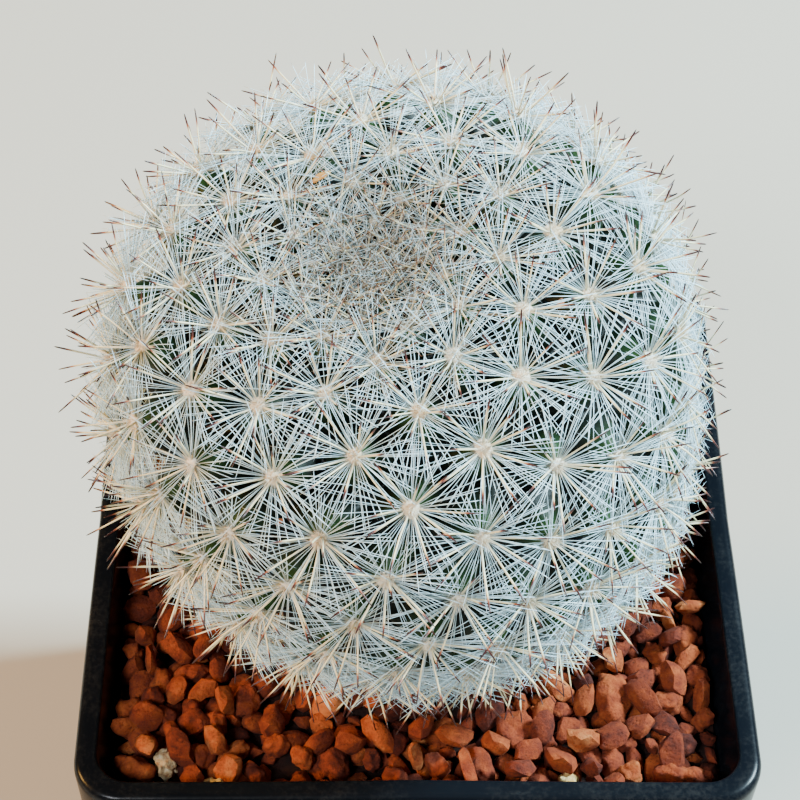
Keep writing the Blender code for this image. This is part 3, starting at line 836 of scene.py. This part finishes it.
def needle_mesh(roots, directions, lengths, sags, thickness, sides, levels, bands):
    """Tapering needles with a closed foot and a point, and a map for their colour.

    A needle's line is root + direction * length * t + sag * t squared. The map's first axis runs
    from foot to point, and its second is the needle's tint band, the same width on every side.
    """
    count = len(roots)
    levels = np.asarray(levels)
    helper = np.where(np.abs(directions[:, 2:]) < 0.9, (0.0, 0.0, 1.0), (1.0, 0.0, 0.0))
    across = np.cross(directions, helper)
    across /= np.linalg.norm(across, axis=1, keepdims=True)
    over = np.cross(directions, across)
    turn = np.linspace(0, 2 * math.pi, sides, endpoint=False)
    rim = np.cos(turn)[:, None] * across[:, None] + np.sin(turn)[:, None] * over[:, None]
    taper = (1 - levels**36) * (1 - 0.18 * levels)
    line = (
        roots[:, None] + directions[:, None] * (lengths[:, None] * levels)[..., None]
        + sags[:, None] * (levels**2)[None, :, None]
    )
    wall = line[:, :, None] + rim[:, None] * (thickness[:, None] / 2 * taper)[..., None, None]
    point = roots + directions * lengths[:, None] + sags
    per_needle = len(levels) * sides + 1
    points = np.concatenate([wall.reshape(count, -1, 3), point[:, None]], axis=1).reshape(-1, 3)
    points = plant_in_pot(points)
    index = np.arange(len(levels) * sides).reshape(len(levels), sides)
    quads = ring_faces(len(levels), sides, flip=True)
    tip = np.stack([index[-1], np.full(sides, per_needle - 1), np.roll(index[-1], -1)], axis=1)
    foot = index[0][None]
    starts = (np.arange(count) * per_needle)[:, None, None]
    face_sets = [(faces[None] + starts).reshape(-1, faces.shape[1]) for faces in (quads, tip, foot)]

    bottom = bands[:, None, None] / TINT_BANDS + 0.1 / TINT_BANDS
    tall = 0.8 / TINT_BANDS
    low_u, high_u = np.repeat(levels[:-1], sides), np.repeat(levels[1:], sides)
    quad_u = np.stack([high_u, high_u, low_u, low_u], axis=1)
    quad_v = np.tile((0.0, 1.0, 1.0, 0.0), (len(quads), 1))
    tip_u = np.tile((levels[-1], 1.0, levels[-1]), (sides, 1))
    tip_v = np.tile((0.0, 0.5, 1.0), (sides, 1))
    foot_u = np.full((1, sides), 0.0)
    foot_u[0, sides // 2] = 0.02
    foot_v = np.linspace(0, 1, sides)[None]
    maps = []
    for u, v in ((quad_u, quad_v), (tip_u, tip_v), (foot_u, foot_v)):
        u = np.broadcast_to(u[None], (count, *u.shape))
        maps.append(np.stack([u, bottom + tall * v[None]], axis=-1).reshape(-1, 2))
    return points, face_sets, np.vstack(maps)


def add_needles(name, needles, material):
    """A piece of joined needles, riding on the plant, with its map stored."""
    points, face_sets, uv = needles
    piece = add_surface(name, points, face_sets, material)
    layer = piece.data.uv_layers.new(name="OFBake")
    layer.uv.foreach_set("vector", uv.astype(np.float32).ravel())
    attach(piece, "root")
    return piece


def aim_needles(turn, tilt, which):
    """Level and tilted directions at chosen areoles: a turn round each, then a tilt off the skin."""
    down, out = areole_down[which][:, None], areole_out[which][:, None]
    side = np.cross(areole_out, areole_down)[which][:, None]
    flat = np.cos(turn)[..., None] * side + np.sin(turn)[..., None] * down
    return flat, np.cos(tilt)[..., None] * flat + np.sin(tilt)[..., None] * out


def fan_out(random, per_areole, low_tilt, high_tilt, tilt_power):
    """For each areole, evenly turned directions with jitter, tilted up from the skin by random amounts."""
    count = len(areoles)
    turn = (np.arange(per_areole)[None] + random.uniform(-0.38, 0.38, (count, per_areole))) / per_areole
    turn = 2 * math.pi * (turn + random.uniform(0, 1, (count, 1)))
    tilt = low_tilt + (high_tilt - low_tilt) * random.uniform(0, 1, turn.shape) ** tilt_power
    youth = np.exp(-(areole_along / CROWN_SPREAD) ** 2)[:, None]
    tilt = tilt + (YOUNG_TILT - tilt) * youth * random.uniform(0.0, 1, turn.shape)
    flat, aim = aim_needles(turn, tilt, slice(None))
    return aim, flat, turn, youth


def stand_in_world(roots, aims, lengths):
    """Leans needles with the plant and shortens those that would reach down into the gravel."""
    roots, aims, lengths = lean(roots.reshape(-1, 3)), lean(aims.reshape(-1, 3)), lengths.ravel()
    stretch = np.linalg.norm(aims, axis=1)
    aims = aims / stretch[:, None]
    fall = np.maximum(-aims[:, 2], 1e-6)
    drop = roots[:, 2] + GLOBE_CENTRE.z - GRAVEL_CLEAR
    lengths = np.minimum(lengths * stretch, drop / fall)
    kept = (lengths > SHORTEST_SPINE) & (drop > 0)
    return roots, aims, lengths, kept


def grow_radials(seed, per_areole, low_tilt, high_tilt):
    """White needles all round each areole, their feet in a small ring on the wool."""
    random = np.random.default_rng(seed)
    aim, flat, turn, youth = fan_out(random, per_areole, low_tilt, high_tilt, 1.3)
    size = np.clip(areole_spacing / areole_spacing.max(), 0.3, 1)[:, None]
    roots = areoles[:, None] + flat * (RADIAL_FEET * size * random.uniform(0.7, 1.2, turn.shape))[..., None]
    roots = roots + (areole_out * 0.3 * MM)[:, None]
    length = RADIAL_LENGTH * random.uniform(0.82, 1.12, turn.shape) * (1 - 0.32 * youth)
    roots, aim, length, kept = stand_in_world(roots, aim, length)
    sag = random.normal(0, 0.03, roots.shape) * length[:, None]
    young = np.repeat(youth, per_areole)
    kept &= random.uniform(0, 1, len(roots)) > 0.74 * young
    thick = RADIAL_THICKNESS * random.uniform(0.75, 1.2, len(roots)) * (1 - 0.30 * young)
    bands = random.integers(0, TINT_BANDS, len(roots))
    chosen = [values[kept] for values in (roots, aim, length, sag, thick)]
    return needle_mesh(*chosen, 3, (0.0, 0.5, 0.88), bands[kept])


# Painted shade of the crown hollow: needles from 4 to 15 mm of the growing tip are mixed towards a dark
# horn colour, most strongly nearest the tip.
CROWN_LEVEL = 35 * MM
HOLLOW_SHADE_HORN = (0.13, 0.10, 0.065)
HOLLOW_SHADE_NEAR, HOLLOW_SHADE_FAR = 4 * MM, 15 * MM


def needle_material(name, stops, roughness, tint):
    """Horny needle: colour runs from foot to point over stops, varied by the needle's tint band.

    Towards the growing tip, where the needles are young and stand in the hollow, it is mixed towards a dull
    dark horn colour: painted shade of the hollow, with some of the young needles' duller colour.
    """
    material, tree, shader = new_material(name, stops[0][1], roughness)
    needle_map = add_node(tree, "UVMap", uv_map="OFBake").outputs["UV"]
    along = add_node(tree, "SeparateXYZ", Vector=needle_map)
    band = add_math(tree, "FLOOR", add_math(tree, "MULTIPLY", along.outputs["Y"], float(TINT_BANDS)))
    chance = add_node(tree, "TexWhiteNoise", noise_dimensions="1D", W=band)
    shift = add_math(tree, "MULTIPLY", add_math(tree, "SUBTRACT", chance.outputs["Value"], 0.5), 0.08)
    colour = add_ramp(tree, add_math(tree, "ADD", along.outputs["X"], shift, clamp=True), stops)
    shuffled = add_math(tree, "ADD", band, 77.0)
    other = add_node(tree, "TexWhiteNoise", noise_dimensions="1D", W=shuffled)
    pale = add_node(tree, "MapRange", Value=along.outputs["X"], From_Min=0.76, From_Max=0.60)
    amount = add_math(tree, "MULTIPLY", other.outputs["Value"], 0.55)
    amount = add_math(tree, "MULTIPLY", amount, pale.outputs[0])
    colour = add_mix(tree, amount, colour, add_mix(tree, 0.6, colour, tint))
    # Painted shade: the colour is mixed towards the dark horn colour near the growing tip.
    tip = add_node(tree, "VectorMath", operation="DISTANCE")
    tree.links.new(add_node(tree, "TexCoord").outputs["Object"], tip.inputs[0])
    tip.inputs[1].default_value = GLOBE_CENTRE + STEM_AXIS * CROWN_LEVEL
    hollow_shade = add_node(tree, "MapRange", Value=tip.outputs["Value"],
                    From_Min=HOLLOW_SHADE_NEAR, From_Max=HOLLOW_SHADE_FAR, To_Min=0.62, To_Max=0.0)
    colour = add_mix(tree, hollow_shade.outputs[0], colour, HOLLOW_SHADE_HORN)
    tree.links.new(colour, shader.inputs["Base Color"])
    return material


radial_material = needle_material("radial_spine", (
    (0.0, (0.50, 0.48, 0.42)), (0.15, (0.56, 0.75, 0.84)),
    (0.85, (0.62, 0.86, 0.98)), (1.0, (0.60, 0.68, 0.70)),
), 0.24, (0.74, 0.68, 0.50))
add_needles("radial_spines_low", grow_radials(51, RADIAL_SPINES // 2, -0.04, 0.26), radial_material)
add_needles("radial_spines_high", grow_radials(52, RADIAL_SPINES // 2, 0.10, 0.46), radial_material)

# ----------------------------------------------------------
# Areole hairs: short soft cream hairs that stand out of the wool between the spines' feet, and
# give each cushion its fluffy outline.
# ----------------------------------------------------------
HAIRS_PER_AREOLE = 34
HAIR_THICKNESS = 0.075 * MM
HAIR_LENGTHS = 0.9 * MM, 1.75 * MM


def grow_hairs(seed):
    """Short hairs from all over each cushion, pointing away from a place just under its middle."""
    random = np.random.default_rng(seed)
    aim, _, turn, _ = fan_out(random, HAIRS_PER_AREOLE, 0.2, 1.5, 0.8)
    size = np.clip(areole_spacing / areole_spacing.max(), 0.4, 1)[:, None]
    roots = areoles[:, None] + (areole_out * 0.2 * MM)[:, None] + aim * (0.35 * MM * size)[..., None]
    length = random.uniform(*HAIR_LENGTHS, turn.shape) * size
    roots, aim = lean(roots.reshape(-1, 3)), lean(aim.reshape(-1, 3))
    sag = random.normal(0, 0.12, roots.shape) * length.reshape(-1, 1)
    thick = HAIR_THICKNESS * random.uniform(0.8, 1.2, len(roots))
    bands = random.integers(0, TINT_BANDS, len(roots))
    return needle_mesh(roots, aim, length.ravel(), sag, thick, 3, (0.0, 0.5, 0.85), bands)


hair_material = needle_material("areole_hair", (
    (0.0, (0.42, 0.24, 0.10)), (0.40, (0.72, 0.58, 0.38)), (1.0, (0.84, 0.86, 0.82)),
), 0.6, (0.62, 0.38, 0.16))
add_needles("areole_hairs", grow_hairs(55), hair_material)

# ----------------------------------------------------------
# Central spines: nine stouter ivory needles that stand up from each areole, with a warm zone and
# a dark red-brown point.
# ----------------------------------------------------------
CENTRAL_SPINES = 9
CENTRAL_LENGTH = 7.7 * MM
CENTRAL_THICKNESS = 0.26 * MM
CENTRAL_FEET = 0.50 * MM


def grow_centrals(seed):
    """Stout needles from the middle of each areole, most of them leaning well away from it."""
    random = np.random.default_rng(seed)
    aim, flat, turn, youth = fan_out(random, CENTRAL_SPINES, 0.30, 1.15, 1.15)
    roots = areoles[:, None] + flat * CENTRAL_FEET + (areole_out * 0.3 * MM)[:, None]
    down = np.sin(turn) > 0.3
    length = CENTRAL_LENGTH * random.uniform(0.78, 1.1, turn.shape) * (1 - 0.42 * youth)
    length = length * np.where(down, 1.06, 0.98)
    roots, aim, length, kept = stand_in_world(roots, aim, length)
    sag = random.normal(0, 0.035, roots.shape) * length[:, None]
    young = np.repeat(youth, CENTRAL_SPINES)
    thick = CENTRAL_THICKNESS * random.uniform(0.85, 1.15, len(roots)) * (1 - 0.4 * young)
    bands = random.integers(0, TINT_BANDS, len(roots))
    chosen = [values[kept] for values in (roots, aim, length, sag, thick)]
    return needle_mesh(*chosen, 5, (0.0, 0.4, 0.7, 0.86, 0.965), bands[kept])


central_material = needle_material("central_spine", (
    (0.0, (0.76, 0.73, 0.58)), (0.68, (0.80, 0.70, 0.42)), (0.78, (0.30, 0.080, 0.034)),
    (0.83, (0.060, 0.009, 0.008)), (1.0, (0.012, 0.003, 0.003)),
), 0.32, (0.74, 0.58, 0.30))
add_needles("central_spines", grow_centrals(61), central_material)

# ----------------------------------------------------------
# Crown spines: the youngest areoles at the growing tip are packed with finer, duller hairs that
# lean over the tip from every side and tangle, so that no skin shows there.
# ----------------------------------------------------------
CROWN_REACH = 17 * MM
CROWN_HAIRS = 20
CROWN_LENGTHS = 4.2 * MM, 6.6 * MM
CROWN_THICKNESS = 0.08 * MM, 0.12 * MM


def grow_crown(seed):
    """Fine short needles from around each young areole, aimed almost anywhere above the skin."""
    random = np.random.default_rng(seed)
    young = np.flatnonzero(areole_along < CROWN_REACH)
    shape = (len(young), CROWN_HAIRS)
    turn = random.uniform(0, 2 * math.pi, shape)
    tilt = random.uniform(0.05, 0.80, shape)
    flat, aim = aim_needles(turn, tilt, young)
    spread = random.normal(0, 0.30, shape) * areole_spacing[young][:, None]
    roots = areoles[young][:, None] + flat * spread[..., None]
    length = random.uniform(*CROWN_LENGTHS, shape)
    roots, aim, length, _ = stand_in_world(roots, aim, length)
    sag = random.normal(0, 0.06, roots.shape) * length[:, None]
    thick = random.uniform(*CROWN_THICKNESS, len(roots))
    bands = random.integers(0, TINT_BANDS, len(roots))
    return needle_mesh(roots, aim, length, sag, thick, 3, (0.0, 0.5, 0.88), bands)


crown_material = needle_material("crown_spine", (
    (0.0, (0.07, 0.05, 0.03)), (0.35, (0.30, 0.26, 0.20)),
    (0.80, (0.66, 0.66, 0.60)), (1.0, (0.30, 0.10, 0.05)),
), 0.40, (0.34, 0.24, 0.13))
add_needles("crown_spines", grow_crown(71), crown_material)

# ----------------------------------------------------------
# Dry flakes: three papery husks of old flower and seed, caught among the spines.
# ----------------------------------------------------------
FLAKE_THICKNESS = 0.12 * MM
FLAKES = (
    ((-12.3, -0.9, 68.9), (2.7, 1.1), 35, (0.55, 0.30, 0.06)),
    ((14.8, -17.3, 65.5), (1.5, 0.8), 70, (0.42, 0.12, 0.04)),
    ((-17.0, -34.6, 47.3), (1.3, 0.8), 10, (0.45, 0.14, 0.05)),
)


def flake_surface(place, size, turn):
    """A curled oval leaf 0.12 mm thick: two crumpled discs joined round their edge."""
    rings, around = 6, 18
    radius = np.linspace(0, 1, rings)[1:, None]
    angle = np.linspace(0, 2 * math.pi, around, endpoint=False)[None]
    x, y = radius * np.cos(angle), radius * np.sin(angle) * (1 - 0.25 * np.cos(angle))
    flat = np.stack([x, y, 0.35 * y**2 + 0.12 * np.sin(5 * x + 2 * y)], axis=-1).reshape(-1, 3)
    flat = np.vstack([flat, (0, 0, 0)]) * (size[0] / 2, size[1] / 2, size[1] / 2) * MM
    half = (0, 0, FLAKE_THICKNESS / 2)
    top, under = flat + half, flat - np.array(half)
    grid = ring_faces(rings - 1, around)
    first = np.arange(around)
    hub = np.stack([np.full(around, len(flat) - 1), first, np.roll(first, -1)], axis=1)
    edge = first + (rings - 2) * around
    rim = np.stack([edge, edge + len(flat), np.roll(edge, -1) + len(flat), np.roll(edge, -1)], axis=1)
    faces = [grid[:, ::-1], hub, (grid + len(flat)), (hub + len(flat))[:, ::-1], rim]
    centre = np.array(place) * MM + (0, 0, RIM)
    outward = Vector(centre - np.array(GLOBE_CENTRE)).normalized()
    frame_turn = Vector((0, 0, 1)).rotation_difference(outward).to_matrix()
    spin = np.array(frame_turn @ Matrix.Rotation(math.radians(turn), 3, "Z"))
    return np.vstack([top, under]) @ spin.T + centre, faces


flake_points, flake_sets, flake_colours = [], [], []
for flake_place, flake_size, flake_turn, colour in FLAKES:
    points, faces = flake_surface(flake_place, flake_size, flake_turn)
    start = sum(len(group) for group in flake_points)
    flake_points.append(points)
    flake_sets += [group + start for group in faces]
    flake_colours += [(*colour, 1.0)] * len(points)
husk_material, husk_tree, husk_shader = new_material("dry_husk", (0.5, 0.25, 0.06), 0.7)
husk_own = add_node(husk_tree, "Attribute", attribute_name="husk_colour").outputs["Color"]
husk_grain = add_node(husk_tree, "TexNoise", Scale=1400.0, Detail=3.0,
                      Vector=add_node(husk_tree, "TexCoord").outputs["Object"])
husk_colour = add_mix(husk_tree, husk_grain.outputs["Fac"], husk_own, (0.20, 0.07, 0.02))
husk_tree.links.new(husk_colour, husk_shader.inputs["Base Color"])
add_bump(husk_tree, husk_shader, husk_grain.outputs["Fac"], 0.6, 0.0002)
dry_flakes = add_surface("dry_flakes", np.vstack(flake_points), flake_sets, husk_material)
flake_layer = dry_flakes.data.attributes.new("husk_colour", "FLOAT_COLOR", "POINT")
flake_layer.data.foreach_set("color", np.array(flake_colours, dtype=np.float32).ravel())
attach(dry_flakes, "root")
